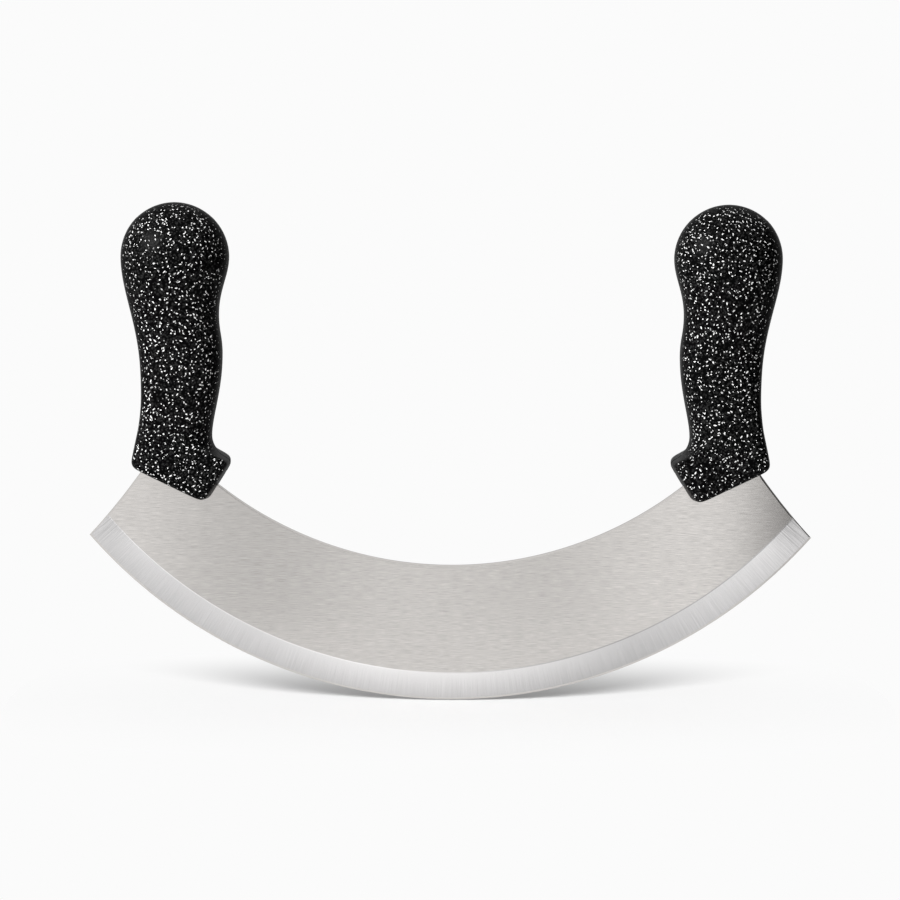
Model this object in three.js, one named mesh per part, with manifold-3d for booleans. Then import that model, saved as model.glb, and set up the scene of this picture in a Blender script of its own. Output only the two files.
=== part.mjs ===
// Pizza rocker knife: a crescent blade stamped from one steel sheet, with a handle moulded round each tang.
// Millimetres. X runs along the blade, Y through its thickness and Z up; the knife's front faces -Y.
// The origin is the lowest point of the cutting edge, on the blade's mid-plane.
import * as THREE from "three";
import { mergeVertices } from "three/addons/utils/BufferGeometryUtils.js";
import Module from "manifold-3d";

const wasm = await Module();
wasm.setup();

// Blade
const BLADE_SPAN = 260; // tip to tip
const BLADE_DEPTH = 49.4; // cutting edge to spine, at the middle
const BLADE_THICKNESS = 2; // the steel sheet
const EDGE_RADIUS = 171; // the cutting edge's arc
const SPINE_RADIUS = 134; // the spine's arc, which isn't concentric with the edge
const BEVEL_WIDTH = 10.1; // ground on both faces, measured along the radius from the edge
const HONED_WIDTH = 0.7; // the steeper strip that carries the edge itself
const HONED_THICKNESS = 0.55; // where the bevel gives way to the honed strip
const EDGE_THICKNESS = 0.12; // the cutting edge, slightly blunt
const END_HOLLOW = 0.65; // how far each end of the blade curves inwards

// Tangs, which run up inside the handles
const TANG_WIDTH = 15;
const TANG_LENGTH = 66; // shoulder to the round top
const SHOULDER_HEIGHT = 8.7; // above the handle's base
const SHOULDER_REACH = 10.4; // outwards from the handle's axis
const ROOT_FILLET = 2.5;
const FILLET_ROOM = 0.9; // the share of a short side that its fillet may take
const HOLE_DIAMETER = 6; // the plastic flows through these and locks the handle
const HOLE_COUNT = 3;
const HOLE_PITCH = 20;
const FIRST_HOLE_RISE = 14; // above the shoulder

// Handles, in a frame of their own: u outwards from the handle's axis, v up from its base
const HANDLE_INSET = 31.6; // tip of the blade in to the handle's axis
const HANDLE_SINK = 14.7; // how far the base lies below the spine's arc, on the axis
const HANDLE_LENGTH = 101.6; // base to the top of the bulb, on the axis
const BULB_RADIUS = 19.4;
const BASE_SLANT = 26; // degrees; the base falls towards the middle of the knife
const BASE_OUTER = 16.8; // axis to the outer corner of the base
const BASE_INNER = 11.1; // axis to the inner corner of the base
const OUTER_WAIST = 12.3; // the hollow on the outer side
const OUTER_WAIST_HEIGHT = 34.5;
const FLARE_HEIGHT = 24; // where the flare towards the base takes hold
const NOSE_REACH = 20.4; // the finger guard's tip, before it is rounded
const NOSE_HEIGHT = 9.3;
const NOSE_ROUNDING = 2.6;
const NECK_REACH = 12.8; // the grip's narrowest, just above the nose
const FINGER_FILLET = 5.8; // the hollow where a finger lies against the nose
const PALM_REACH = 16.8; // the swell in the palm
const PALM_HEIGHT = 47;
const UPPER_WAIST_REACH = 15.5; // the hollow below the bulb
const UPPER_WAIST_HEIGHT = 62.2;
const BASE_THICKNESS = 20.5;
const GRIP_THICKNESS = 23.5;
const BULB_THICKNESS = 29;
const BASE_ROUNDING = 2.3; // round the rim of the base
const BASE_DRAFT = 6; // degrees; the base's sides lean in from the plane where the mould parts
const BASE_SQUARENESS = 8; // sections are superellipses: 2 is an ellipse, more is squarer
const GRIP_SQUARENESS = 2.6;
const BULB_SQUARENESS = 2.2;
const MOULD_CLEARANCE = 0.3; // between the handle and its tang

// How long each S-shaped stretch of the handle's outline stays upright, as shares of its rise
const OUTER_SWEEP = { leave: 0.5, arrive: 0.28 };
const PALM_SWEEP = { leave: 0.2, arrive: 0.41 };
const UPPER_WAIST_SWEEP = { leave: 0.5, arrive: 0.5 };
const BULB_SWEEP = { leave: 0.41, arrive: 0.31 };

// Fineness of the curves
const EDGE_STEPS = 256; // round the whole circle that the edge lies on
const SPINE_STEPS = 26; // from the middle to one tang
const CURVE_STEPS = 6;
const RING_STEPS = 32;
const ROUNDING_STEPS = 3;
const OUTLINE_STEPS = 40;

// Places that follow from the sizes
const handleAxis = BLADE_SPAN / 2 - HANDLE_INSET;
const spineCentre = BLADE_DEPTH + SPINE_RADIUS;
const spineHeight = (x) => spineCentre - Math.sqrt(SPINE_RADIUS ** 2 - x ** 2);
const handleBase = spineHeight(handleAxis) - HANDLE_SINK;
const baseSlope = Math.tan(THREE.MathUtils.degToRad(BASE_SLANT));
const baseDraft = Math.tan(THREE.MathUtils.degToRad(BASE_DRAFT));
const crookHeight = NOSE_HEIGHT + (NOSE_REACH - NECK_REACH) * baseSlope;
const bulbHeight = HANDLE_LENGTH - BULB_RADIUS;
const tip = new THREE.Vector2(
  BLADE_SPAN / 2,
  EDGE_RADIUS - Math.sqrt(EDGE_RADIUS ** 2 - (BLADE_SPAN / 2) ** 2),
);

// A closed geometry as a solid that can be joined and cut
function toSolid(geometry) {
  const bare = new THREE.BufferGeometry();
  bare.setAttribute("position", geometry.getAttribute("position"));
  bare.setIndex(geometry.index);
  const merged = mergeVertices(bare);
  const mesh = new wasm.Mesh({
    numProp: 3,
    vertProperties: merged.getAttribute("position").array,
    triVerts: new Uint32Array(merged.index.array),
  });
  return new wasm.Manifold(mesh);
}

function toGeometry(solid) {
  const mesh = solid.getMesh();
  const geometry = new THREE.BufferGeometry();
  geometry.setAttribute("position", new THREE.BufferAttribute(mesh.vertProperties, 3));
  geometry.setIndex(new THREE.BufferAttribute(mesh.triVerts, 1));
  geometry.computeVertexNormals();
  return geometry;
}

// The right half of the sheet's outline in X and Z, from the middle of the spine to past the tip.
// Grown by a clearance, it is the space that a handle leaves for its tang.
function halfOutline(clearance) {
  const halfTang = TANG_WIDTH / 2 + clearance;
  const tangInner = handleAxis - halfTang;
  const tangOuter = handleAxis + halfTang;
  const tangTop = handleBase + SHOULDER_HEIGHT + TANG_LENGTH - TANG_WIDTH / 2;
  const spineRadius = SPINE_RADIUS - clearance;
  const spineEnd = Math.asin((tangInner - ROOT_FILLET) / spineRadius);
  const rootHeight = spineHeight(tangInner);
  const spine = new THREE.EllipseCurve(
    0,
    spineCentre,
    spineRadius,
    spineRadius,
    -Math.PI / 2,
    -Math.PI / 2 + spineEnd,
  );

  const shoulder = new THREE.Vector2(handleAxis + SHOULDER_REACH, handleBase + SHOULDER_HEIGHT);
  const chord = tip.clone().sub(shoulder);
  const outwards = new THREE.Vector2(-chord.y, chord.x).normalize();
  shoulder.addScaledVector(outwards, clearance);
  const end = tip.clone().addScaledVector(outwards, clearance);
  const hollow = shoulder.clone().lerp(end, 0.5).addScaledVector(outwards, -2 * END_HOLLOW);
  const pastTip = end.clone().add(end.clone().sub(hollow).setLength(BLADE_THICKNESS));
  const rootFillet = Math.min(ROOT_FILLET, FILLET_ROOM * (shoulder.x - tangOuter));

  const tang = new THREE.Path();
  tang.moveTo(tangInner - ROOT_FILLET, spineHeight(tangInner - ROOT_FILLET) + clearance);
  tang.quadraticCurveTo(tangInner, rootHeight, tangInner, rootHeight + ROOT_FILLET);
  tang.lineTo(tangInner, tangTop);
  tang.absarc(handleAxis, tangTop, halfTang, Math.PI, 0, true);
  tang.lineTo(tangOuter, shoulder.y + rootFillet);
  tang.quadraticCurveTo(tangOuter, shoulder.y, tangOuter + rootFillet, shoulder.y);
  tang.lineTo(shoulder.x, shoulder.y);
  tang.quadraticCurveTo(hollow.x, hollow.y, end.x, end.y);
  tang.lineTo(pastTip.x, pastTip.y);
  tang.lineTo(pastTip.x, -BLADE_THICKNESS);
  return [...spine.getPoints(SPINE_STEPS).slice(0, -1), ...tang.getPoints(CURVE_STEPS)];
}

// The flat sheet with its two tangs and their holes, before the edge is ground
function sheet(clearance) {
  const right = halfOutline(clearance);
  const left = right.map((point) => new THREE.Vector2(-point.x, point.y)).reverse();
  const shape = new THREE.Shape([...right, ...left.slice(0, -1)]);
  for (const side of [-1, 1]) {
    for (let i = 0; i < HOLE_COUNT; i += 1) {
      const height = handleBase + SHOULDER_HEIGHT + FIRST_HOLE_RISE + i * HOLE_PITCH;
      const hole = new THREE.Path();
      hole.absarc(side * handleAxis, height, HOLE_DIAMETER / 2 - clearance, 0, 2 * Math.PI, false);
      shape.holes.push(hole);
    }
  }
  const depth = BLADE_THICKNESS + 2 * clearance;
  const geometry = new THREE.ExtrudeGeometry(shape, {
    depth,
    bevelEnabled: false,
    curveSegments: 2 * CURVE_STEPS,
  });
  geometry.rotateX(Math.PI / 2).translate(0, depth / 2, 0);
  return toSolid(geometry);
}

// The double cone that the grinding leaves: its rim is the cutting edge, and its flanks are the bevels
function grind() {
  const honedRadius = EDGE_RADIUS - HONED_WIDTH;
  const slope = (BLADE_THICKNESS - HONED_THICKNESS) / 2 / (BEVEL_WIDTH - HONED_WIDTH);
  const apex = HONED_THICKNESS / 2 + slope * honedRadius;
  const profile = [
    new THREE.Vector2(0, -apex),
    new THREE.Vector2(honedRadius, -HONED_THICKNESS / 2),
    new THREE.Vector2(EDGE_RADIUS, -EDGE_THICKNESS / 2),
    new THREE.Vector2(EDGE_RADIUS, EDGE_THICKNESS / 2),
    new THREE.Vector2(honedRadius, HONED_THICKNESS / 2),
    new THREE.Vector2(0, apex),
  ];
  const geometry = new THREE.LatheGeometry(profile, EDGE_STEPS);
  geometry.translate(0, 0, EDGE_RADIUS);
  return toSolid(geometry);
}

// An S-shaped stretch of an outline that leaves and arrives upright
function sweepTo(path, u, v, sweep) {
  const from = path.currentPoint.clone();
  const rise = v - from.y;
  path.bezierCurveTo(from.x, from.y + sweep.leave * rise, u, v - sweep.arrive * rise, u, v);
}

// The outer side of the handle, from the base to the top of the bulb
function outerOutline() {
  const path = new THREE.Path();
  path.moveTo(BASE_OUTER, BASE_OUTER * baseSlope);
  path.quadraticCurveTo(OUTER_WAIST, FLARE_HEIGHT, OUTER_WAIST, OUTER_WAIST_HEIGHT);
  sweepTo(path, BULB_RADIUS, bulbHeight, OUTER_SWEEP);
  path.absarc(0, bulbHeight, BULB_RADIUS, 0, Math.PI / 2, false);
  return path.getPoints(OUTLINE_STEPS);
}

// The inner side: the nose, the hollow above it, the palm swell, the upper waist and the bulb
function innerOutline() {
  const corner = new THREE.Vector2(-BASE_INNER, -BASE_INNER * baseSlope);
  const nose = new THREE.Vector2(-NOSE_REACH, NOSE_HEIGHT);
  const crook = new THREE.Vector2(-NECK_REACH, crookHeight);
  const ledge = nose.distanceTo(crook);
  const noseRounding = Math.min(NOSE_ROUNDING, FILLET_ROOM * ledge);
  const fingerFillet = Math.min(FINGER_FILLET, ledge - noseRounding);
  const towards = (from, to, distance) => from.clone().add(to.clone().sub(from).setLength(distance));
  const beforeNose = towards(nose, corner, noseRounding);
  const afterNose = towards(nose, crook, noseRounding);
  const beforeCrook = towards(crook, nose, fingerFillet);

  const path = new THREE.Path();
  path.moveTo(corner.x, corner.y);
  path.lineTo(beforeNose.x, beforeNose.y);
  path.quadraticCurveTo(nose.x, nose.y, afterNose.x, afterNose.y);
  path.lineTo(beforeCrook.x, beforeCrook.y);
  path.quadraticCurveTo(crook.x, crook.y, crook.x, crook.y + fingerFillet);
  sweepTo(path, -PALM_REACH, PALM_HEIGHT, PALM_SWEEP);
  sweepTo(path, -UPPER_WAIST_REACH, UPPER_WAIST_HEIGHT, UPPER_WAIST_SWEEP);
  sweepTo(path, -BULB_RADIUS, bulbHeight, BULB_SWEEP);
  path.absarc(0, bulbHeight, BULB_RADIUS, Math.PI, Math.PI / 2, true);
  return path.getPoints(CURVE_STEPS);
}

// Where an outline stands at a height
function reachAt(outline, height) {
  const above = Math.max(1, outline.findIndex((point) => point.y >= height));
  const from = outline[above - 1];
  const to = outline[above];
  const share = THREE.MathUtils.clamp((height - from.y) / (to.y - from.y), 0, 1);
  return new THREE.Vector2(THREE.MathUtils.lerp(from.x, to.x, share), height);
}

// One section of the handle, from the inner side to the outer side: half a superellipse towards each,
// with sides that lean in by the draft
function sectionRing(inner, outer, section, inset) {
  const middle = inner.clone().lerp(outer, 0.5);
  const across = outer.clone().sub(inner);
  const halfWidth = across.length() / 2 - inset;
  across.normalize();
  const rounded = (value, squareness) => Math.sign(value) * Math.abs(value) ** (2 / squareness);
  const ring = [];
  for (let i = 0; i < RING_STEPS; i += 1) {
    const angle = (2 * Math.PI * i) / RING_STEPS;
    const squareness = Math.cos(angle) > 0 ? section.outerSquareness : section.innerSquareness;
    const depth = (section.halfThickness - inset) * rounded(Math.sin(angle), squareness);
    const reach = (halfWidth - section.draft * Math.abs(depth)) * rounded(Math.cos(angle), squareness);
    const point = middle.clone().addScaledVector(across, reach);
    ring.push(new THREE.Vector3(point.x, depth, point.y));
  }
  return ring;
}

// A closed skin over a stack of rings, with a fan at the bottom and at the top
function loft(rings, bottom, top) {
  const points = [...rings.flat(), bottom, top];
  const bottomIndex = points.length - 2;
  const topIndex = points.length - 1;
  const lastRing = (rings.length - 1) * RING_STEPS;
  const faces = [];
  for (let i = 0; i < RING_STEPS; i += 1) {
    const next = (i + 1) % RING_STEPS;
    faces.push(bottomIndex, next, i);
    faces.push(topIndex, lastRing + i, lastRing + next);
    for (let ring = 0; ring < lastRing; ring += RING_STEPS) {
      faces.push(ring + i, ring + next, ring + RING_STEPS + i);
      faces.push(ring + next, ring + RING_STEPS + next, ring + RING_STEPS + i);
    }
  }
  const geometry = new THREE.BufferGeometry().setFromPoints(points);
  geometry.setIndex(faces);
  return geometry;
}

// The handle's outer form: sections that lie along the slanted base and level out towards the bulb.
// On the inner side the square base ends in a ledge along the nose, where the round neck falls back from it.
function handleForm() {
  const outer = outerOutline();
  const inner = innerOutline();
  const base = inner[0];
  const baseRise = outer[0].y - base.y;
  const smooth = THREE.MathUtils.smoothstep;
  const blend = THREE.MathUtils.lerp;

  const ringAt = (point, inset) => {
    const height = point.y;
    const rise = baseRise * (1 - smooth(height, NOSE_HEIGHT, UPPER_WAIST_HEIGHT));
    const overBulb = Math.max(0, height - bulbHeight) / BULB_RADIUS;
    const dome = Math.sqrt(1 - overBulb ** 2);
    const toPalm = smooth(height, base.y, PALM_HEIGHT);
    const toBulb = smooth(height, PALM_HEIGHT, bulbHeight);
    const overLedge = smooth(height, NOSE_HEIGHT, crookHeight);
    const thickness = blend(blend(BASE_THICKNESS, GRIP_THICKNESS, toPalm), BULB_THICKNESS, toBulb);
    const gripSquareness = blend(GRIP_SQUARENESS, BULB_SQUARENESS, toBulb);
    const section = {
      halfThickness: (thickness / 2) * dome,
      innerSquareness: blend(BASE_SQUARENESS, gripSquareness, overLedge),
      outerSquareness: blend(BASE_SQUARENESS, gripSquareness, toPalm),
      draft: baseDraft * (1 - toPalm),
    };
    return sectionRing(point, reachAt(outer, height + rise), section, inset);
  };

  const rings = [];
  for (let i = 0; i < ROUNDING_STEPS; i += 1) {
    const turn = ((Math.PI / 2) * i) / ROUNDING_STEPS;
    const height = base.y + BASE_ROUNDING * (1 - Math.cos(turn));
    rings.push(ringAt(reachAt(inner, height), BASE_ROUNDING * (1 - Math.sin(turn))));
  }
  rings.push(ringAt(reachAt(inner, base.y + BASE_ROUNDING), 0));
  for (const point of inner.slice(1, -1)) {
    rings.push(ringAt(point, 0));
  }
  const geometry = loft(rings, new THREE.Vector3(0, 0, 0), new THREE.Vector3(0, 0, HANDLE_LENGTH));
  geometry.translate(handleAxis, 0, handleBase);
  return toSolid(geometry);
}

const steel = new THREE.MeshStandardMaterial({ color: 0xc6c4c0, metalness: 1, roughness: 0.36 });
const speckledPlastic = new THREE.MeshStandardMaterial({ color: 0x161616, metalness: 0, roughness: 0.38 });

const bladeMesh = new THREE.Mesh(toGeometry(sheet(0).intersect(grind())), steel);
bladeMesh.name = "blade";

const handleGeometry = toGeometry(handleForm().subtract(sheet(MOULD_CLEARANCE)));
const rightHandle = new THREE.Mesh(handleGeometry, speckledPlastic);
rightHandle.name = "right_handle";
const leftHandle = new THREE.Mesh(handleGeometry, speckledPlastic);
leftHandle.name = "left_handle";
leftHandle.scale.x = -1;

const knife = new THREE.Group();
knife.add(bladeMesh, leftHandle, rightHandle);

export default knife;
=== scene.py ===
"""Pizza rocker knife: a ground crescent blade between two speckled grips, on a white sweep in soft light."""

import math

import bmesh
import bpy
from bpy.props import FloatProperty, FloatVectorProperty, IntProperty, PointerProperty
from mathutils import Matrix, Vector


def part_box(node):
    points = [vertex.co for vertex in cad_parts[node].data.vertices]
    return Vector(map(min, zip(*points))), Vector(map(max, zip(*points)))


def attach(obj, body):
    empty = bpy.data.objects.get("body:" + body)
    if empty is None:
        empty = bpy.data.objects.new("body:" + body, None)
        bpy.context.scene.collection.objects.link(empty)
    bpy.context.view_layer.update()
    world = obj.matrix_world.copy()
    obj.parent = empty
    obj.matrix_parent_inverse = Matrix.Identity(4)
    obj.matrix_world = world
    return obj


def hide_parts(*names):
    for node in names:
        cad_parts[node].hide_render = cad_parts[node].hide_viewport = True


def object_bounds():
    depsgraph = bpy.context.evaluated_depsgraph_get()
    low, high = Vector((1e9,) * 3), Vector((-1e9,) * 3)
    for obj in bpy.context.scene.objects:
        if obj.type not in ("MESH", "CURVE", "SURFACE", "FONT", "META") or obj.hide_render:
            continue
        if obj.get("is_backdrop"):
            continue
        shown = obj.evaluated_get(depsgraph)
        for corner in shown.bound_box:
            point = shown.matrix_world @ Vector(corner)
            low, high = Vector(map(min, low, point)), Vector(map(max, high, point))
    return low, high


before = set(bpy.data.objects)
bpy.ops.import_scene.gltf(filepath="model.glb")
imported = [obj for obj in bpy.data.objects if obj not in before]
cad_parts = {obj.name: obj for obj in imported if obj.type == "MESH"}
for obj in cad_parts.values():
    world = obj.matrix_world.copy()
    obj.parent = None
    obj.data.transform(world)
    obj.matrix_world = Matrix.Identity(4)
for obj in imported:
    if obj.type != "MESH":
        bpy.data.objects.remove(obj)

bl_info = {
    "name": "Pizza Rocker Knife",
    "version": (1, 0, 0),
    "blender": (4, 5, 0),
    "location": "View3D > Sidebar > Rocker Knife",
    "description": "Finishes the blade and grips of a pizza rocker knife and sets up its studio",
    "category": "Object",
}

MILLIMETRE = 0.001
MERGE_DISTANCE = 0.002 * MILLIMETRE
SIDES = ("left", "right")
WHITE = (1.0, 1.0, 1.0, 1.0)

# The zones of the blade, each with its own finish, and the least |Y| of the normals in those that face
# across it
BLADE_ZONES = ("brushed_flat", "ground_bevel", "honed_edge", "rounded_side")
FLAT, BEVEL, HONED, ROUNDED = range(len(BLADE_ZONES))
ZONE_FACING = {FLAT: 0.9995, BEVEL: 0.98, HONED: 0.7}

# The two parts of a grip: the skin that is held, and the pocket round the tang
SKIN, POCKET = range(2)

# How far in from the sides of a grip the blade's corners are out of sight inside it
COVERED_INSET = 9 * MILLIMETRE

# Angles between faces: the most within one flat of the blade, the most across two triangles that were one
# face of a grip, how far such a face may be from square, and the least at a grip's rim and at a corner that
# stays sharp
FLAT_ANGLE = math.radians(0.02)
SKIN_ANGLE = math.radians(40)
SKIN_SKEW = math.radians(60)
RIM_ANGLE = math.radians(50)
BLADE_CORNER = math.radians(30)
GRIP_CORNER = math.radians(45)

# Steps round a rounded corner of the blade and round the rim of a grip
DEBURR_STEPS = 4
RIM_STEPS = 3

# The blade's UV map: along the scratches and across them, in metres
SCRATCH_MAP = "scratches"

# The grain of the steel: the span of the noise that shows, how many bands there are for each line, what the
# lines give of the whole, and how deeply and how strongly they are cut
GRAIN_SPAN = (0.3, 0.7)
BANDS_PER_LINE = 0.17
LINE_SHARE = 0.88
GRAIN_DEPTH = 0.003 * MILLIMETRE
GRAIN_STRENGTH = 0.25

# Painted light and shade along the bevels, standing in for the studio's reflections: how bright they are from
# the left tip, at -1, to the right tip, at 1
PAINTED_BEVEL_REFLECTIONS = (
    (-1.0, 1.06),
    (-0.9, 0.93),
    (-0.7, 0.845),
    (-0.5, 0.84),
    (-0.2, 0.95),
    (0.05, 0.92),
    (0.3, 0.8),
    (0.48, 0.74),
    (0.6, 0.86),
    (0.72, 1.0),
    (0.83, 1.1),
    (0.92, 1.18),
    (1.0, 1.22),
)

# Painted shade on the bevels, which darken from the flat to the cutting edge: their level half-way, and the
# rise from there to the flat at the middle of the blade and towards its tips, with the stretch where one
# gives way to the other
HALFWAY_LEVEL = 0.965
MIDDLE_RISE = 0.2
TIP_RISE = 0.1
RISE_STRETCH = (0.2, 0.6)

# Where what the left half of a bevel shows gives way to what the right half shows
RIGHT_STRETCH = (-0.3, 0.3)

# The dark lines at the tips of the bevels, real coarse grind lines with painted shade over them that is
# deeper at the right tip: where they begin, their size next to the grain, the shade of the darkest at the
# left tip and the right tip and of the lightest, and what is left of it at the cutting edge
TIP_STRETCH = (0.88, 1.0)
TIP_LINE_LENGTH = 4
TIP_LINE_WIDTH = 3
TIP_DARKEST = (0.5, 0.75)
TIP_LIGHTEST = 0.1
TIP_EDGE_SHARE = 0.3

# A painted highlight and painted shade on the line between the flat and the bevel, brighter than the bevel on
# the left and darker on the right
PAINTED_LIP_LEVELS = (1.15, 0.65)

# The flecks: how unevenly they are strewn, how near to the surface one shows, as a share of their spacing,
# their range of sizes, how seldom they are long, how dim the dimmest is, the share of them that is dimmed,
# and how soft their outlines are
FLECK_RANDOMNESS = 0.95
FLECK_REACH = 0.4
FLECK_SIZES = (0.5, 1.0)
ROD_RARITY = 1.8
DIMMEST_FLECK = 0.3
DIMMED_SHARE = 0.4
FLECK_SOFTNESS = 0.06

# The sunk flecks, which show faintly through the plastic, next to the bright ones
SUNK_SHIFT = (0.77, 0.41, 0.59)
SUNK_SPACING = 0.7
SUNK_WIDTH = 1.6
SUNK_LENGTH = 1.1
SUNK_SOFTNESS = 0.7
SUNK_LEVEL = 0.022

# Painted shade at the rims of the grips: the flecks fade where the skin turns away from the view, from one
# facing to another
PAINTED_RIM_SHADE_SPAN = (0.35, 0.8)
PAINTED_RIM_SHADE_LEVEL = 0.03

# How far the outlines of the flecks waver, and how often in a metre
WAVER = 0.5 * MILLIMETRE
WAVER_SCALE = 900.0

# The skin of the grips: fine unevenness, and a weak gloss
SKIN_SCALE = 1400.0
SKIN_SPAN = (0.3, 0.7)
SKIN_ROUGHNESS = (0.3, 0.36)
SKIN_DEPTH = 0.1 * MILLIMETRE
SKIN_STRENGTH = 0.12
SKIN_GLOSS = 0.022

# How bright the studio is from its left side, at -1, to its right side, at 1: what the flats of the blade
# show, round that the sides above the horizon and below it, and the part behind the knife
FACED_LEVELS = (
    (-0.16, 1.08),
    (-0.125, 1.1),
    (-0.108, 0.94),
    (-0.09, 0.77),
    (-0.065, 0.74),
    (-0.04, 0.9),
    (-0.02, 0.97),
    (0.0, 0.95),
    (0.02, 0.89),
    (0.044, 0.84),
    (0.067, 1.02),
    (0.085, 1.1),
    (0.109, 1.15),
    (0.121, 1.08),
    (0.127, 0.55),
    (0.132, 0.1),
    (0.16, 0.1),
)
UPPER_LEFT = ((-1.0, 1.0), (-0.4, 1.0), (-0.33, 0.85))
UPPER_RIGHT = ((0.2, 0.9), (0.33, 0.9), (0.4, 0.08), (1.0, 0.08))
UPPER_SIDES = (*UPPER_LEFT, *FACED_LEVELS, *UPPER_RIGHT)
LOWER_SIDES = ((-1.0, 1.05), (-0.42, 1.05), (-0.33, 0.85), (0.33, 0.9), (0.42, 0.8), (1.0, 0.8))
BEHIND = ((-1.0, 0.65), (-0.1, 0.6), (0.1, 0.5), (1.0, 0.5))

# Where these parts give way to each other: upwards from below the horizon, backwards, and upwards to the
# overhead light
HORIZON_SPAN = (-0.3, -0.2)
BEHIND_SPAN = (0.2, 0.6)
OVERHEAD_SPAN = (0.5, 0.8)

# The lamps: a square one in front on the left for the grips, and one for the floor, seen as a wide disc
KEY_PLACE = (-1.15, -1.28, 0.95)
KEY_SIZE = 0.8
FLOOR_LIGHT_SPREAD = math.radians(24)

# The floor's paint, and the oval round the knife in which the floor fades into the background
FLOOR_COLOR = (0.85, 0.85, 0.85, 1.0)
FLOOR_ROUGHNESS = 0.9
FLOOR_GLOSS = 0.1
FLOOR_SEGMENTS = 64
FADE_OVAL = (1.0, 2.4, 1.0)
FADE_STRETCH = (12 * MILLIMETRE, 215 * MILLIMETRE)


class BladeSettings(bpy.types.PropertyGroup):
    """What can be changed on the blade"""

    deburr: FloatProperty(
        name="Deburring",
        description="Rounding of the corners along the spine and the ends",
        default=0.7 * MILLIMETRE,
        min=0.0,
        unit="LENGTH",
    )
    tip_deburr: FloatProperty(
        name="Tip deburring",
        description="Rounding of the corners beside the bevels, where the blade is thinner",
        default=0.25 * MILLIMETRE,
        min=0.0,
        unit="LENGTH",
    )
    # The lip is painted: a highlight on the left and shade on the right of the line between the flat and the
    # bevel
    painted_lip_width: FloatProperty(
        name="Lip width",
        description="Width of the line that the grinding leaves between the flat and the bevel",
        default=0.5 * MILLIMETRE,
        min=0.01 * MILLIMETRE,
        unit="LENGTH",
    )
    flat_color: FloatVectorProperty(
        name="Flat",
        description="Colour of the brushed flat",
        default=(0.62, 0.598, 0.578),
        subtype="COLOR",
    )
    bevel_color: FloatVectorProperty(
        name="Bevel",
        description="Colour of the ground bevel",
        default=(0.823, 0.812, 0.812),
        subtype="COLOR",
    )
    grain_width: FloatProperty(
        name="Grain width",
        description="Width of one brushed line",
        default=0.17 * MILLIMETRE,
        min=0.01 * MILLIMETRE,
        unit="LENGTH",
    )
    grain_length: FloatProperty(
        name="Grain length",
        description="Length of one brushed line",
        default=4.5 * MILLIMETRE,
        min=0.1 * MILLIMETRE,
        unit="LENGTH",
    )


class GripSettings(bpy.types.PropertyGroup):
    """What can be changed on the two grips"""

    plastic_color: FloatVectorProperty(
        name="Plastic",
        description="Colour of the plastic between the flecks",
        default=(0.001, 0.001, 0.0011),
        subtype="COLOR",
    )
    fleck_color: FloatVectorProperty(
        name="Flecks",
        description="Colour of the brightest flecks",
        default=(0.97, 0.97, 0.96),
        subtype="COLOR",
    )
    fleck_spacing: FloatProperty(
        name="Fleck spacing",
        description="Average distance between flecks inside the plastic",
        default=1.52 * MILLIMETRE,
        min=0.1 * MILLIMETRE,
        unit="LENGTH",
    )
    fleck_width: FloatProperty(
        name="Fleck width",
        description="Width of a large fleck",
        default=0.45 * MILLIMETRE,
        min=0.05 * MILLIMETRE,
        unit="LENGTH",
    )
    fleck_length: FloatProperty(
        name="Fleck length",
        description="Length of a long fleck",
        default=1.3 * MILLIMETRE,
        min=0.05 * MILLIMETRE,
        unit="LENGTH",
    )
    smoothness: IntProperty(
        name="Smoothness",
        description="Subdivisions of the moulded skin",
        default=2,
        min=0,
        max=3,
    )
    rim_radius: FloatProperty(
        name="Rim radius",
        description="Rounding of the rim round the foot of a grip",
        default=1.2 * MILLIMETRE,
        min=0.1 * MILLIMETRE,
        unit="LENGTH",
    )
    seam_width: FloatProperty(
        name="Mould line width",
        description="Width of the line that the two halves of the mould leave",
        default=0.5 * MILLIMETRE,
        min=0.1 * MILLIMETRE,
        unit="LENGTH",
    )
    seam_height: FloatProperty(
        name="Mould line height",
        description="How far the mould line stands proud of the grip",
        default=0.09 * MILLIMETRE,
        min=0.0,
        unit="LENGTH",
    )


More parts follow.
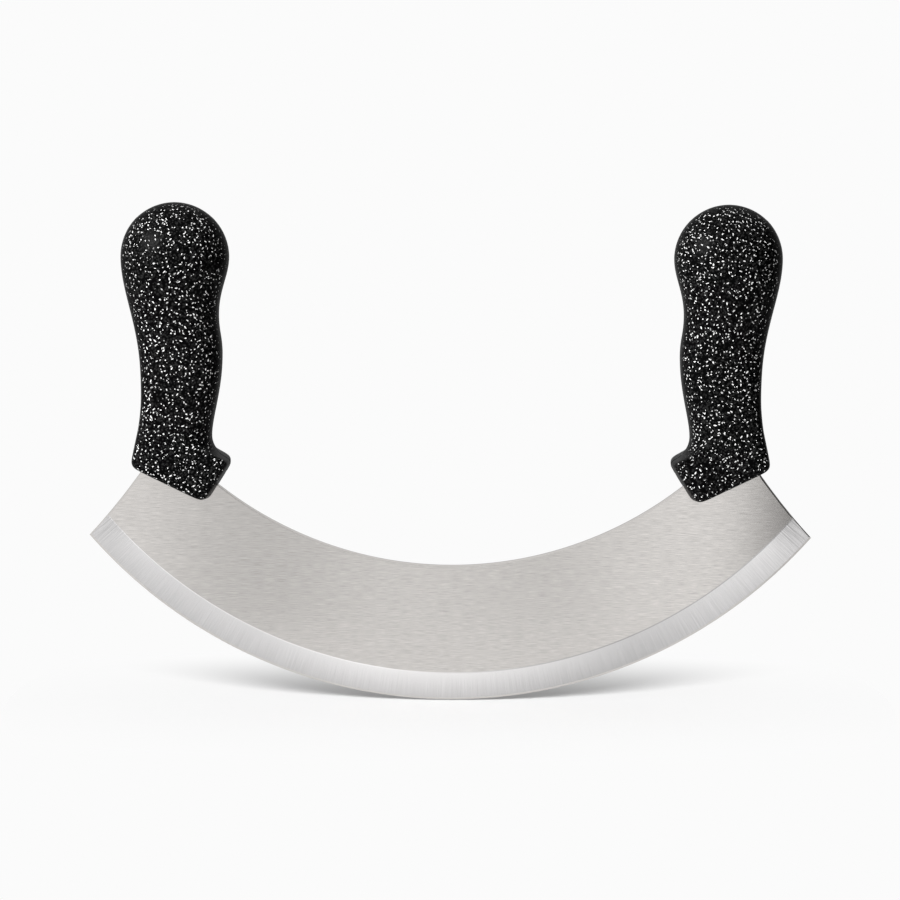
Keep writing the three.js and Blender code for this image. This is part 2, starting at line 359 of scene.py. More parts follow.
class StageSettings(bpy.types.PropertyGroup):
    """What can be changed on the camera, the floor and the lamps"""

    elevation: FloatProperty(
        name="Elevation",
        description="Height of the view above the horizon",
        default=math.radians(7),
        subtype="ANGLE",
    )
    roll: FloatProperty(
        name="Roll",
        description="How far the camera turns about its line of sight, to the right",
        default=math.radians(-0.27),
        subtype="ANGLE",
    )
    distance: FloatProperty(
        name="Distance",
        description="From the camera to the middle of the frame",
        default=0.9,
        unit="LENGTH",
    )
    framed_width: FloatProperty(
        name="Framed width",
        description="What the frame takes in at the knife",
        default=323.0 * MILLIMETRE,
        unit="LENGTH",
    )
    aim: FloatVectorProperty(
        name="Aim",
        description="Where the middle of the frame lies, from the lowest point of the cutting edge",
        default=(-0.8 * MILLIMETRE, 0.0, 91.2 * MILLIMETRE),
        subtype="TRANSLATION",
        unit="LENGTH",
    )
    background: FloatProperty(
        name="Background",
        description="Brightness of the sweep where nothing shades it",
        default=0.965,
        min=0.0,
        max=1.0,
        subtype="FACTOR",
    )
    ambient: FloatProperty(
        name="Ambient light",
        description="Strength of the light from all round, next to what the steel shows of the studio",
        default=0.4,
        min=0.0,
    )
    overhead: FloatProperty(
        name="Overhead light",
        description="How bright the studio is from above",
        default=1.0,
        min=0.0,
    )
    floor_radius: FloatProperty(
        name="Floor radius",
        description="How far the floor reaches round the knife",
        default=0.16,
        unit="LENGTH",
    )
    floor_drop: FloatProperty(
        name="Floor drop",
        description="How far the floor lies below the cutting edge",
        default=0.4 * MILLIMETRE,
        unit="LENGTH",
    )
    key_power: FloatProperty(
        name="Key lamp",
        description="Power of the soft lamp in front of the grips, on their left",
        default=48.0,
        unit="POWER",
    )
    floor_strength: FloatProperty(
        name="Floor light",
        description="Strength of the light on the floor round the knife's shadow",
        default=4.27,
    )
    floor_light_height: FloatProperty(
        name="Floor light height",
        description="How steeply the light falls that casts the knife's shadow",
        default=math.radians(34.3),
        subtype="ANGLE",
    )
    floor_light_side: FloatProperty(
        name="Floor light side",
        description="How far to the left of the camera that light comes from",
        default=math.radians(3),
        subtype="ANGLE",
    )


# Helpers for meshes


def merged_copy(node_name):
    """A bmesh of a CAD node with its loose triangles joined up."""
    work = bmesh.new()
    work.from_mesh(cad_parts[node_name].data)
    bmesh.ops.remove_doubles(work, verts=work.verts, dist=MERGE_DISTANCE)
    work.normal_update()
    return work


def modified(work, kind, **settings):
    """What a modifier makes of a bmesh, as a new bmesh whose faces keep their zones."""
    mesh = bpy.data.meshes.new("before")
    work.to_mesh(mesh)
    work.free()
    for zone in BLADE_ZONES:
        mesh.materials.append(None)
    before = bpy.data.objects.new("before", mesh)
    bpy.context.scene.collection.objects.link(before)
    modifier = before.modifiers.new(kind.lower(), kind)
    for name, value in settings.items():
        setattr(modifier, name, value)
    after = bmesh.new()
    after.from_object(before, bpy.context.evaluated_depsgraph_get())
    bpy.data.objects.remove(before)
    bpy.data.meshes.remove(mesh)
    return after


def new_piece(work, name, materials):
    """The finished bmesh as an object, without the attributes that only fitted the loose triangles."""
    mesh = bpy.data.meshes.new(name)
    work.to_mesh(mesh)
    work.free()
    for leftover in ("custom_normal", "sharp_face"):
        if leftover in mesh.attributes:
            mesh.attributes.remove(mesh.attributes[leftover])
    for material in materials:
        mesh.materials.append(material)
    piece = bpy.data.objects.new(name, mesh)
    bpy.context.scene.collection.objects.link(piece)
    return piece


def declare_piece(piece, node_name):
    """Hides the CAD node that a piece stands for and hangs the piece from the root body."""
    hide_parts(node_name)
    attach(piece, "root")


# Helpers for materials


def add_node(tree, kind, inputs=None, **settings):
    """A new node with its settings; each input is a value or another node's socket."""
    node = tree.nodes.new(kind)
    for name, value in settings.items():
        setattr(node, name, value)
    for name, value in (inputs or {}).items():
        if isinstance(value, bpy.types.NodeSocket):
            tree.links.new(value, node.inputs[name])
        else:
            node.inputs[name].default_value = value
    return node


def calculate(tree, operation, *values):
    """A Math node's result."""
    return add_node(tree, "ShaderNodeMath", dict(enumerate(values)), operation=operation).outputs["Value"]


def multiply(tree, product, *factors):
    """The product of several values."""
    for factor in factors:
        product = calculate(tree, "MULTIPLY", product, factor)
    return product


def calculate_vector(tree, operation, *values):
    """A Vector Math node's result: a number for a length or a dot product, and otherwise a vector."""
    node = add_node(tree, "ShaderNodeVectorMath", dict(enumerate(values)), operation=operation)
    return node.outputs["Value" if operation in ("LENGTH", "DOT_PRODUCT") else "Vector"]


def scale_vector(tree, vector, factor):
    """A vector or a colour made larger or smaller."""
    node = add_node(tree, "ShaderNodeVectorMath", {"Vector": vector, "Scale": factor}, operation="SCALE")
    return node.outputs["Vector"]


def remap(tree, value, from_low, from_high, to_low=0.0, to_high=1.0, smooth=True):
    """A value moved from one range to another and held inside it."""
    inputs = {
        "Value": value,
        "From Min": from_low,
        "From Max": from_high,
        "To Min": to_low,
        "To Max": to_high,
    }
    kind = "SMOOTHSTEP" if smooth else "LINEAR"
    return add_node(tree, "ShaderNodeMapRange", inputs, interpolation_type=kind).outputs["Result"]


def blend(tree, share, low, high):
    """A value that goes evenly from one to another as a share goes from 0 to 1."""
    return remap(tree, share, 0.0, 1.0, low, high, smooth=False)


def blend_colors(tree, share, low, high):
    """A colour between two others, which are given as three numbers each."""
    colors = {0: share, 6: (*low, 1.0), 7: (*high, 1.0)}
    return add_node(tree, "ShaderNodeMix", colors, data_type="RGBA").outputs[2]


def levels_across(tree, across, levels):
    """A level that depends on a place from -1 to 1: levels is a row of (place, level)."""
    ramp = add_node(tree, "ShaderNodeValToRGB", {"Fac": remap(tree, across, -1.0, 1.0, smooth=False)})
    stops = ramp.color_ramp.elements
    stops.remove(stops[1])
    for index, (place, level) in enumerate(levels):
        share = (place + 1) / 2
        stop = stops[0] if index == 0 else stops.new(share)
        stop.position = share
        stop.color = (level, level, level, 1.0)
    return ramp.outputs["Color"]


def new_material(name):
    """An empty material with its Principled shader."""
    material = bpy.data.materials.new(name)
    material.use_nodes = True
    return material, material.node_tree, material.node_tree.nodes["Principled BSDF"]


def new_group(name, inputs, outputs):
    """An empty shader node group, with the sockets of its input and output nodes."""
    tree = bpy.data.node_groups.new(name, "ShaderNodeTree")
    for label, default in inputs.items():
        kind = "NodeSocketVector" if isinstance(default, tuple) else "NodeSocketFloat"
        tree.interface.new_socket(label, in_out="INPUT", socket_type=kind).default_value = default
    for label in outputs:
        tree.interface.new_socket(label, in_out="OUTPUT", socket_type="NodeSocketFloat")
    return tree, tree.nodes.new("NodeGroupInput").outputs, tree.nodes.new("NodeGroupOutput").inputs


def place_group(tree, group, inputs):
    """The outputs of a group that is used in a material."""
    return add_node(tree, "ShaderNodeGroup", inputs, node_tree=group).outputs


# Steel


def grain_group():
    """Fine parallel lines along the first coordinate, with broader bands among them."""
    inputs = {"Coordinates": (0.0, 0.0, 0.0), "Line Length": 0.01, "Line Width": 0.0003}
    tree, given, result = new_group("brushed grain", inputs, ("Lines", "Bands"))
    per_length = calculate(tree, "DIVIDE", 1.0, given["Line Length"])
    per_width = calculate(tree, "DIVIDE", 1.0, given["Line Width"])
    stretch = add_node(tree, "ShaderNodeCombineXYZ", {"X": per_length, "Y": per_width, "Z": per_width})
    stretched = calculate_vector(tree, "MULTIPLY", given["Coordinates"], stretch.outputs["Vector"])
    noises = {
        "Lines": {"Scale": 1.0, "Detail": 3.0, "Roughness": 0.65},
        "Bands": {"Scale": BANDS_PER_LINE, "Detail": 2.0, "Roughness": 0.5},
    }
    for label, character in noises.items():
        noise = add_node(tree, "ShaderNodeTexNoise", {"Vector": stretched, **character})
        tree.links.new(remap(tree, noise.outputs["Fac"], *GRAIN_SPAN, smooth=False), result[label])
    return tree


def steel_material(name, group, color, lines, roughness, contrast, stretch):
    """Steel with scratches: lines is (length, width), roughness the range that the lines span."""
    material, tree, shader = new_material(name)
    length, width = lines
    smoothest, roughest = roughness
    place = add_node(tree, "ShaderNodeUVMap", uv_map=SCRATCH_MAP).outputs["UV"]
    grain = place_group(tree, group, {"Coordinates": place, "Line Length": length, "Line Width": width})
    lines_share = calculate(tree, "MULTIPLY", grain["Lines"], LINE_SHARE)
    share = calculate(tree, "MULTIPLY_ADD", grain["Bands"], 1 - LINE_SHARE, lines_share)
    dark = [channel * (1 - contrast) for channel in color]
    light = [channel * (1 + contrast) for channel in color]
    tree.links.new(blend_colors(tree, share, dark, light), shader.inputs["Base Color"])
    tree.links.new(remap(tree, share, 0.0, 1.0, roughest, smoothest), shader.inputs["Roughness"])
    cut = {"Strength": GRAIN_STRENGTH, "Distance": GRAIN_DEPTH, "Height": grain["Lines"]}
    bump = add_node(tree, "ShaderNodeBump", cut)
    tree.links.new(bump.outputs["Normal"], shader.inputs["Normal"])
    tangent = add_node(tree, "ShaderNodeTangent", direction_type="UV_MAP", uv_map=SCRATCH_MAP)
    tree.links.new(tangent.outputs["Tangent"], shader.inputs["Tangent"])
    shader.inputs["Metallic"].default_value = 1.0
    shader.inputs["Anisotropic"].default_value = stretch
    shader.inputs["Anisotropic Rotation"].default_value = 0.25
    return material


def paint_bevel_light_and_shade(material, group, settings, extent):
    """Paints light and shade into the bevel's colour: darker towards the cutting edge and the tips, brighter
    or darker along its length, and a line of painted highlight and shade along its inner border, beside real
    coarse grind lines at the tips.
    """
    tree = material.node_tree
    shader = tree.nodes["Principled BSDF"]
    inner, outer, reach = extent
    place = add_node(tree, "ShaderNodeUVMap", uv_map=SCRATCH_MAP).outputs["UV"]
    parts = add_node(tree, "ShaderNodeSeparateXYZ", {"Vector": place}).outputs
    radius = parts["X"]
    along = calculate(tree, "DIVIDE", parts["Y"], reach)
    aside = calculate(tree, "ABSOLUTE", along)
    to_right = remap(tree, along, *RIGHT_STRETCH)

    # Painted shade: the bevel darkens in colour from the flat to the cutting edge
    rise = remap(tree, aside, *RISE_STRETCH, MIDDLE_RISE, TIP_RISE)
    from_middle = remap(tree, radius, inner, outer, 1.0, -1.0, smooth=False)
    painted_edge_shade = calculate(tree, "MULTIPLY_ADD", rise, from_middle, HALFWAY_LEVEL)

    # Coarse grind lines at the tips, darkened with painted shade that is deeper at the right tip
    tip_lines = {
        "Coordinates": place,
        "Line Length": settings.grain_length * TIP_LINE_LENGTH,
        "Line Width": settings.grain_width * TIP_LINE_WIDTH,
    }
    coarse = place_group(tree, group, tip_lines)["Lines"]
    tip_shade = blend(tree, coarse, blend(tree, to_right, *TIP_DARKEST), TIP_LIGHTEST)
    near_flat = remap(tree, radius, inner, outer, 1.0, TIP_EDGE_SHARE, smooth=False)
    near_tip = remap(tree, aside, *TIP_STRETCH)
    tip_lines_and_painted_shade = calculate(tree, "SUBTRACT", 1.0, multiply(tree, near_tip, tip_shade, near_flat))

    # Painted highlight on the left and painted shade on the right along the bevel's inner border
    in_painted_lip = remap(tree, radius, inner + settings.painted_lip_width, inner + settings.painted_lip_width / 2)
    painted_lip = blend(tree, in_painted_lip, 1.0, blend(tree, to_right, *PAINTED_LIP_LEVELS))

    # The painted light and shade are multiplied into the bevel's colour
    shade = multiply(tree, painted_edge_shade, tip_lines_and_painted_shade, painted_lip, levels_across(tree, along, PAINTED_BEVEL_REFLECTIONS))
    plain = shader.inputs["Base Color"].links[0].from_socket
    tree.links.new(scale_vector(tree, plain, shade), shader.inputs["Base Color"])


def steel_materials(settings, extent):
    """One steel for each zone of the blade, in the order of BLADE_ZONES."""
    group = grain_group()
    length = settings.grain_length
    width = settings.grain_width
    brushed = steel_material(
        BLADE_ZONES[FLAT],
        group,
        settings.flat_color,
        lines=(length, width),
        roughness=(0.12, 0.16),
        contrast=0.22,
        stretch=1.0,
    )
    ground = steel_material(
        BLADE_ZONES[BEVEL],
        group,
        settings.bevel_color,
        lines=(length * 3, width),
        roughness=(0.2, 0.26),
        contrast=0.12,
        stretch=0.8,
    )
    paint_bevel_light_and_shade(ground, group, settings, extent)
    honed = steel_material(
        BLADE_ZONES[HONED],
        group,
        settings.flat_color,
        lines=(length / 3, width / 2),
        roughness=(0.2, 0.3),
        contrast=0.04,
        stretch=0.5,
    )
    rounded = steel_material(
        BLADE_ZONES[ROUNDED],
        group,
        settings.flat_color,
        lines=(width, width),
        roughness=(0.22, 0.3),
        contrast=0.05,
        stretch=0.0,
    )
    return [brushed, ground, honed, rounded]


# Speckled plastic


def flecks_group():
    """Chips and short rods that lie in the surface, one for each random point that comes near to it."""
    inputs = {
        "Coordinates": (0.0, 0.0, 0.0),
        "Normal": (0.0, 0.0, 1.0),
        "Spacing": 0.0014,
        "Nearness": 0.0004,
        "Width": 0.0005,
        "Length": 0.0014,
        "Softness": 0.2,
    }
    tree, given, result = new_group("moulded flecks", inputs, ("Flecks",))
    place = given["Coordinates"]
    normal = given["Normal"]
    strewn = {
        "Vector": place,
        "Scale": calculate(tree, "DIVIDE", 1.0, given["Spacing"]),
        "Randomness": FLECK_RANDOMNESS,
    }
    cells = add_node(tree, "ShaderNodeTexVoronoi", strewn, voronoi_dimensions="3D").outputs
    chance = add_node(tree, "ShaderNodeTexWhiteNoise", {"Vector": cells["Position"]}, noise_dimensions="3D")
    lots = add_node(tree, "ShaderNodeSeparateColor", {"Color": chance.outputs["Color"]}).outputs

    offset = calculate_vector(tree, "SUBTRACT", place, cells["Position"])
    height = calculate_vector(tree, "DOT_PRODUCT", offset, normal)
    near = calculate(tree, "LESS_THAN", calculate(tree, "ABSOLUTE", height), given["Nearness"])
    spread = calculate_vector(tree, "SUBTRACT", cells["Color"], (0.5, 0.5, 0.5))
    direction = calculate_vector(tree, "NORMALIZE", calculate_vector(tree, "CROSS_PRODUCT", normal, spread))
    along = calculate_vector(tree, "DOT_PRODUCT", offset, direction)
    across_direction = calculate_vector(tree, "CROSS_PRODUCT", normal, direction)
    across = calculate_vector(tree, "DOT_PRODUCT", offset, across_direction)

    size = blend(tree, lots["Red"], *FLECK_SIZES)
    rodness = calculate(tree, "POWER", lots["Green"], ROD_RARITY)
    half_width = multiply(tree, given["Width"], 0.5, size)
    longest = multiply(tree, given["Length"], 0.5, size)
    stretch = calculate(tree, "SUBTRACT", longest, half_width)
    half_length = calculate(tree, "MULTIPLY_ADD", rodness, stretch, half_width)
    along_share = calculate(tree, "DIVIDE", along, half_length)
    across_share = calculate(tree, "DIVIDE", across, half_width)
    shares = add_node(tree, "ShaderNodeCombineXYZ", {"X": along_share, "Y": across_share}).outputs["Vector"]
    outside = calculate_vector(tree, "LENGTH", shares)
    inner = calculate(tree, "SUBTRACT", 1.0, given["Softness"])
    outer = calculate(tree, "ADD", 1.0, given["Softness"])
    shape = remap(tree, outside, outer, inner)
    brightness = remap(tree, lots["Blue"], 0.0, DIMMED_SHARE, DIMMEST_FLECK, 1.0, smooth=False)
    tree.links.new(multiply(tree, shape, near, brightness), result["Flecks"])
    return tree


def speckled_plastic(settings):
    """Black moulded plastic with pale flecks all through it."""
    material, tree, shader = new_material("speckled_plastic")
    group = flecks_group()
    coordinates = add_node(tree, "ShaderNodeTexCoord").outputs
    place = coordinates["Object"]
    wobble = add_node(tree, "ShaderNodeTexNoise", {"Vector": place, "Scale": WAVER_SCALE, "Detail": 1.0})
    centred = calculate_vector(tree, "SUBTRACT", wobble.outputs["Color"], (0.5, 0.5, 0.5))
    bent = calculate_vector(tree, "ADD", place, scale_vector(tree, centred, WAVER))
    common = {"Normal": coordinates["Normal"], "Nearness": settings.fleck_spacing * FLECK_REACH}
    bright_flecks = {
        **common,
        "Coordinates": bent,
        "Spacing": settings.fleck_spacing,
        "Width": settings.fleck_width,
        "Length": settings.fleck_length,
        "Softness": FLECK_SOFTNESS,
    }
    sunk_flecks = {
        **common,
        "Coordinates": calculate_vector(tree, "ADD", bent, SUNK_SHIFT),
        "Spacing": settings.fleck_spacing * SUNK_SPACING,
        "Width": settings.fleck_width * SUNK_WIDTH,
        "Length": settings.fleck_length * SUNK_LENGTH,
        "Softness": SUNK_SOFTNESS,
    }
    bright = place_group(tree, group, bright_flecks)["Flecks"]
    sunk = place_group(tree, group, sunk_flecks)["Flecks"]
    shown = calculate(tree, "MAXIMUM", bright, calculate(tree, "MULTIPLY", sunk, SUNK_LEVEL))
    # Painted shade at the rims: the flecks fade where the skin turns away from the view
    aslant = add_node(tree, "ShaderNodeLayerWeight", {"Blend": 0.5}).outputs["Facing"]
    share = calculate(tree, "MULTIPLY", shown, remap(tree, aslant, *PAINTED_RIM_SHADE_SPAN, 1.0, PAINTED_RIM_SHADE_LEVEL))
    color = blend_colors(tree, share, settings.plastic_color, settings.fleck_color)
    tree.links.new(color, shader.inputs["Base Color"])
    noise = add_node(tree, "ShaderNodeTexNoise", {"Vector": place, "Scale": SKIN_SCALE, "Detail": 2.0})
    uneven = noise.outputs["Fac"]
    tree.links.new(remap(tree, uneven, *SKIN_SPAN, *SKIN_ROUGHNESS), shader.inputs["Roughness"])
    bump = add_node(
        tree, "ShaderNodeBump", {"Strength": SKIN_STRENGTH, "Distance": SKIN_DEPTH, "Height": uneven}
    )
    tree.links.new(bump.outputs["Normal"], shader.inputs["Normal"])
    shader.inputs["Specular IOR Level"].default_value = SKIN_GLOSS
    return material


# Blade


def edge_radius_of(work):
    """The radius of the cutting edge's arc, from its lowest point and its tip."""
    half_thickness = max(vert.co.y for vert in work.verts)
    rim = [vert.co for vert in work.verts if abs(vert.co.y) < half_thickness / 10]
    tip = max(rim, key=lambda place: place.x)
    return (tip.x**2 + tip.z**2) / (2 * tip.z)


def zone_of(face):
    """Which zone of the blade a face lies in."""
    for zone, least in ZONE_FACING.items():
        if abs(face.normal.y) > least:
            return zone
    return ROUNDED


def covered_spans():
    """The stretches along the blade whose corners lie inside the grips."""
    boxes = [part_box(side + "_handle") for side in SIDES]
    return [(low.x + COVERED_INSET, high.x - COVERED_INSET) for low, high in boxes]


def map_scratches(work, edge_radius):
    """Lays the scratches along the blade on its flats, and square to the cutting edge where it is ground."""
    layer = work.loops.layers.uv.new(SCRATCH_MAP)
    for face in work.faces:
        for loop in face.loops:
            place = loop.vert.co
            drop = edge_radius - place.z
            if face.material_index in (BEVEL, HONED):
                loop[layer].uv = (math.hypot(place.x, drop), edge_radius * math.atan2(place.x, drop))
            else:
                loop[layer].uv = (place.x, place.z)


def ground_extent(work):
    """How far the bevels reach: the radii of their two borders, and the arc from their middle to a tip."""
    layer = work.loops.layers.uv[SCRATCH_MAP]
    places = [loop[layer].uv for face in work.faces if face.material_index == BEVEL for loop in face.loops]
    radii = [place.x for place in places]
    return min(radii), max(radii), max(place.y for place in places)


def round_corners(work, settings):
    """Rounds the stamped corners that the grips leave in sight, less where the bevels make the blade thin."""
    shares = {FLAT: 1.0, BEVEL: settings.tip_deburr / settings.deburr}
    covered = covered_spans()
    weights = work.edges.layers.float.new("bevel_weight_edge")
    for edge in work.edges:
        zones = {face.material_index for face in edge.link_faces}
        middle = (edge.verts[0].co.x + edge.verts[1].co.x) / 2
        in_sight = not any(low < middle < high for low, high in covered)
        if in_sight and ROUNDED in zones and len(zones) == 2:
            edge[weights] = shares.get(min(zones), 0.0)
    return modified(
        work,
        "BEVEL",
        width=settings.deburr,
        segments=DEBURR_STEPS,
        profile=0.5,
        limit_method="WEIGHT",
        offset_type="OFFSET",
        use_clamp_overlap=False,
        material=ROUNDED,
    )


def make_blade_mesh(settings):
    """The CAD blade with round corners along its stamped sides, each zone with its own finish."""
    work = merged_copy("blade")
    edge_radius = edge_radius_of(work)
    bmesh.ops.dissolve_limit(
        work, angle_limit=FLAT_ANGLE, verts=work.verts, edges=work.edges, use_dissolve_boundaries=False
    )
    work.normal_update()
    for face in work.faces:
        face.material_index = zone_of(face)
    work = round_corners(work, settings)
    for face in work.faces:
        face.smooth = True
    for edge in work.edges:
        zones = {face.material_index for face in edge.link_faces}
        edge.smooth = len(zones) == 1 and edge.calc_face_angle(0.0) < BLADE_CORNER
    map_scratches(work, edge_radius)
    return work


# Grips


def raise_mould_line(work, width, height):
    """A fine ridge round the grip's mid-plane, where the halves of the mould met."""
    for shift in (-width / 2, 0.0, width / 2):
        skin = [face for face in work.faces if face.material_index == SKIN]
        edges = {edge for face in skin for edge in face.edges}
        verts = {vert for face in skin for vert in face.verts}
        bmesh.ops.bisect_plane(
            work,
            geom=[*skin, *edges, *verts],
            dist=MERGE_DISTANCE,
            plane_co=(0.0, shift, 0.0),
            plane_no=(0.0, 1.0, 0.0),
        )
    work.normal_update()
    crest = [
        vert
        for vert in work.verts
        if abs(vert.co.y) < MERGE_DISTANCE and all(face.material_index == SKIN for face in vert.link_faces)
    ]
    for vert in crest:
        vert.co += height * vert.normal


def make_grip_mesh(node_name, settings, pocket_reach):
    """The CAD handle as a smooth moulded skin, with its mould line.

    The pocket for the tang lies within pocket_reach of the grip's mid-plane.
    """
    work = merged_copy(node_name)
    for face in work.faces:
        inside = all(abs(vert.co.y) < pocket_reach for vert in face.verts)
        face.material_index = POCKET if inside else SKIN
    bmesh.ops.join_triangles(
        work,
        faces=work.faces,
        cmp_materials=True,
        angle_face_threshold=SKIN_ANGLE,
        angle_shape_threshold=SKIN_SKEW,
    )
    sharp = [edge for edge in work.edges if edge.calc_face_angle(0.0) > RIM_ANGLE]
    rim = [edge for edge in sharp if all(face.material_index == SKIN for face in edge.link_faces)]
    bmesh.ops.bevel(
        work,
        geom=rim,
        offset=settings.rim_radius,
        offset_type="OFFSET",
        segments=RIM_STEPS,
        profile=0.5,
        affect="EDGES",
        clamp_overlap=True,
        material=-1,
    )
    creases = work.edges.layers.float.new("crease_edge")
    for edge in work.edges:
        if edge.calc_face_angle(0.0) > RIM_ANGLE:
            edge[creases] = 1.0
    levels = settings.smoothness
    work = modified(work, "SUBSURF", levels=levels, render_levels=levels)
    raise_mould_line(work, settings.seam_width, settings.seam_height)
    for face in work.faces:
        face.smooth = True
        face.material_index = 0
    for edge in work.edges:
        edge.smooth = edge.calc_face_angle(0.0) < GRIP_CORNER
    return work


# Stage


def add_camera(settings):
    """A long lens in front of the knife, a little above it."""
    lens = bpy.data.cameras.new("camera")
    camera = bpy.data.objects.new("camera", lens)
    bpy.context.scene.collection.objects.link(camera)
    back = Vector((0.0, -math.cos(settings.elevation), math.sin(settings.elevation)))
    camera.location = Vector(settings.aim) + settings.distance * back
    camera.rotation_euler = (math.pi / 2 - settings.elevation, settings.roll, 0.0)
    lens.lens = lens.sensor_width * settings.distance / settings.framed_width
    bpy.context.scene.camera = camera


def add_lamp(name, kind, strength, place, target):
    """A lamp aimed at a point."""
    light = bpy.data.lights.new(name, kind)
    light.energy = strength
    lamp = bpy.data.objects.new(name, light)
    bpy.context.scene.collection.objects.link(lamp)
    lamp.location = place
    lamp.rotation_euler = (Vector(target) - lamp.location).to_track_quat("-Z", "Y").to_euler()
    return lamp


def light_only(lamp, things):
    """Keeps a lamp's light off everything but a few things."""
    lit = bpy.data.collections.new(lamp.name + "_lit")
    for thing in things:
        lit.objects.link(thing)
    lamp.light_linking.receiver_collection = lit


def add_world(settings):
    """A studio that is brighter on the left than on the right, behind a white background."""
    world = bpy.data.worlds.new("studio")
    world.use_nodes = True
    tree = world.node_tree
    bpy.context.scene.world = world
    outwards = add_node(tree, "ShaderNodeTexCoord").outputs["Generated"]
    parts = add_node(tree, "ShaderNodeSeparateXYZ", {"Vector": outwards}).outputs
    upper = levels_across(tree, parts["X"], UPPER_SIDES)
    lower = levels_across(tree, parts["X"], LOWER_SIDES)
    behind = levels_across(tree, parts["X"], BEHIND)
    studio = remap(tree, parts["Z"], *HORIZON_SPAN, lower, upper)
    studio = remap(tree, parts["Y"], *BEHIND_SPAN, studio, behind)
    studio = remap(tree, parts["Z"], *OVERHEAD_SPAN, studio, settings.overhead)
    path = add_node(tree, "ShaderNodeLightPath").outputs
    strength = blend(tree, path["Is Glossy Ray"], settings.ambient, 1.0)
    light = calculate(tree, "MULTIPLY", studio, strength)
    level = blend(tree, path["Is Camera Ray"], light, settings.background)
    background = tree.nodes["Background"]
    background.inputs["Color"].default_value = WHITE
    tree.links.new(level, background.inputs["Strength"])


def floor_material(settings):
    """A white floor that keeps the knife's shadow and fades into the background away from it."""
    material, tree, shader = new_material("white_sweep")
    shader.inputs["Base Color"].default_value = FLOOR_COLOR
    shader.inputs["Roughness"].default_value = FLOOR_ROUGHNESS
    shader.inputs["Specular IOR Level"].default_value = FLOOR_GLOSS
    place = add_node(tree, "ShaderNodeTexCoord").outputs["Object"]
    away = calculate_vector(tree, "LENGTH", calculate_vector(tree, "MULTIPLY", place, FADE_OVAL))
    faded = remap(tree, away, *FADE_STRETCH)
    seen = add_node(tree, "ShaderNodeLightPath").outputs["Is Camera Ray"]
    glow = add_node(tree, "ShaderNodeEmission", {"Color": WHITE, "Strength": settings.background})
    mix = add_node(tree, "ShaderNodeMixShader", {"Fac": calculate(tree, "MULTIPLY", faded, seen)})
    tree.links.new(shader.outputs["BSDF"], mix.inputs[1])
    tree.links.new(glow.outputs["Emission"], mix.inputs[2])
    tree.links.new(mix.outputs["Shader"], tree.nodes["Material Output"].inputs["Surface"])
    return material


def add_floor(settings):
    """The sweep's level part, under and round the knife."""
    work = bmesh.new()
    bmesh.ops.create_circle(work, cap_ends=True, segments=FLOOR_SEGMENTS, radius=settings.floor_radius)
    bmesh.ops.translate(work, verts=work.verts, vec=(0.0, 0.0, -settings.floor_drop))
    floor = new_piece(work, "floor", [floor_material(settings)])
    floor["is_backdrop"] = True
    return floor


class ROCKER_KNIFE_OT_blade(bpy.types.Operator):
    """Finish the steel blade"""

    bl_idname = "rocker_knife.blade"
    bl_label = "Make Blade"

    def execute(self, context):
        settings = context.scene.rocker_blade
        work = make_blade_mesh(settings)
        materials = steel_materials(settings, ground_extent(work))
        piece = new_piece(work, "ground_blade", materials)
        declare_piece(piece, "blade")
        return {"FINISHED"}


class ROCKER_KNIFE_OT_grips(bpy.types.Operator):
    """Finish the two moulded grips"""

    bl_idname = "rocker_knife.grips"
    bl_label = "Make Grips"

    def execute(self, context):
        settings = context.scene.rocker_grips
        blade_low, blade_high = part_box("blade")
        sheet_thickness = blade_high.y - blade_low.y
        plastic = speckled_plastic(settings)
        for side in SIDES:
            work = make_grip_mesh(side + "_handle", settings, sheet_thickness)
            piece = new_piece(work, side + "_grip", [plastic])
            declare_piece(piece, side + "_handle")
        return {"FINISHED"}


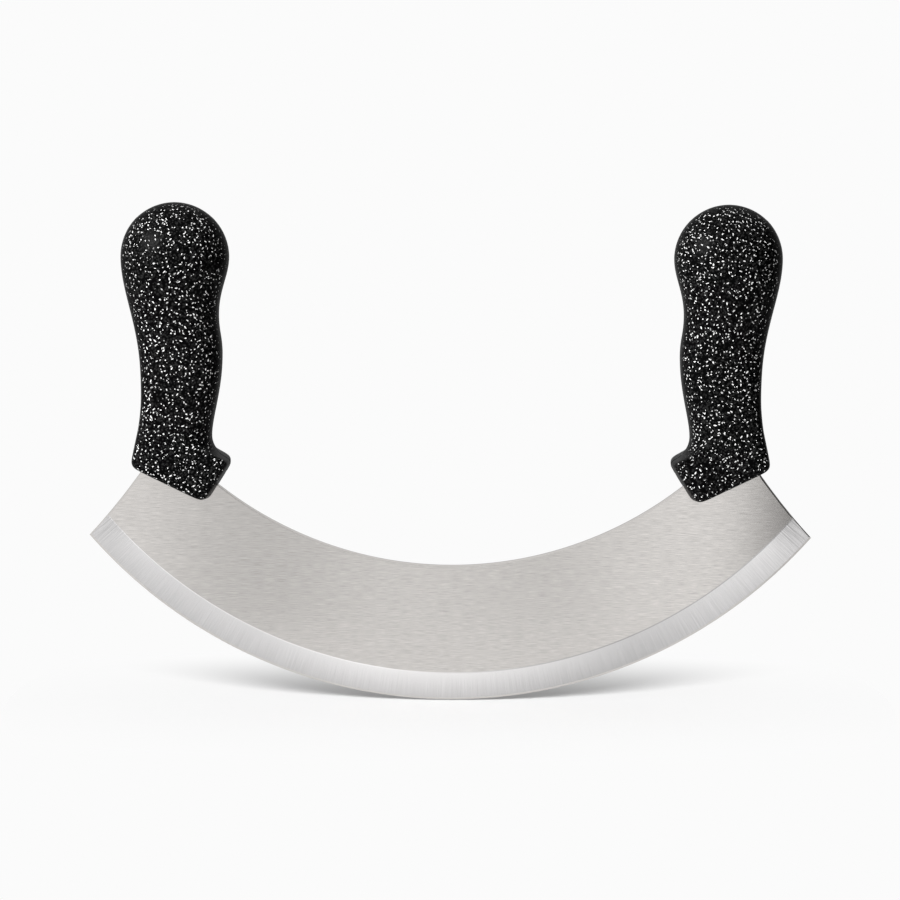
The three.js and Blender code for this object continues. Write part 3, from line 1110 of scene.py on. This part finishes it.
class ROCKER_KNIFE_OT_stage(bpy.types.Operator):
    """Set up the camera, the white floor and the soft lamps"""

    bl_idname = "rocker_knife.stage"
    bl_label = "Make Stage"

    def execute(self, context):
        settings = context.scene.rocker_stage
        context.scene.view_settings.view_transform = "Standard"
        add_camera(settings)
        add_world(settings)
        floor = add_floor(settings)
        key_lamp = add_lamp("key_lamp", "AREA", settings.key_power, KEY_PLACE, settings.aim)
        key_lamp.data.size = KEY_SIZE
        light_only(key_lamp, [bpy.data.objects[side + "_grip"] for side in SIDES])
        steep = settings.floor_light_height
        aside = settings.floor_light_side
        source = (-math.cos(steep) * math.sin(aside), -math.cos(steep) * math.cos(aside), math.sin(steep))
        floor_light = add_lamp("floor_light", "SUN", settings.floor_strength, source, (0.0, 0.0, 0.0))
        floor_light.data.angle = FLOOR_LIGHT_SPREAD
        light_only(floor_light, [floor])
        return {"FINISHED"}


class ROCKER_KNIFE_PT_sidebar(bpy.types.Panel):
    """The knife's settings and the steps that make it"""

    bl_idname = "ROCKER_KNIFE_PT_sidebar"
    bl_label = "Rocker Knife"
    bl_space_type = "VIEW_3D"
    bl_region_type = "UI"
    bl_category = "Rocker Knife"

    def draw(self, context):
        scene = context.scene
        steps = (
            (scene.rocker_blade, ROCKER_KNIFE_OT_blade),
            (scene.rocker_grips, ROCKER_KNIFE_OT_grips),
            (scene.rocker_stage, ROCKER_KNIFE_OT_stage),
        )
        for settings, step in steps:
            box = self.layout.box()
            for name in settings.__annotations__:
                box.prop(settings, name)
            box.operator(step.bl_idname)


CLASSES = (
    BladeSettings,
    GripSettings,
    StageSettings,
    ROCKER_KNIFE_OT_blade,
    ROCKER_KNIFE_OT_grips,
    ROCKER_KNIFE_OT_stage,
    ROCKER_KNIFE_PT_sidebar,
)


def register():
    for item in CLASSES:
        bpy.utils.register_class(item)
    bpy.types.Scene.rocker_blade = PointerProperty(type=BladeSettings)
    bpy.types.Scene.rocker_grips = PointerProperty(type=GripSettings)
    bpy.types.Scene.rocker_stage = PointerProperty(type=StageSettings)


def unregister():
    del bpy.types.Scene.rocker_stage
    del bpy.types.Scene.rocker_grips
    del bpy.types.Scene.rocker_blade
    for item in reversed(CLASSES):
        bpy.utils.unregister_class(item)


def corners():
    """The shown object's lowest and highest corners as plain lists."""
    bpy.context.view_layer.update()
    return [list(corner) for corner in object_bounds()]


def main():
    register()
    cad_box = corners()
    bpy.ops.rocker_knife.blade()
    bpy.ops.rocker_knife.grips()
    bpy.ops.rocker_knife.stage()
    {"cad": cad_box, "visual": corners()}


if __name__ == "__main__":
    main()
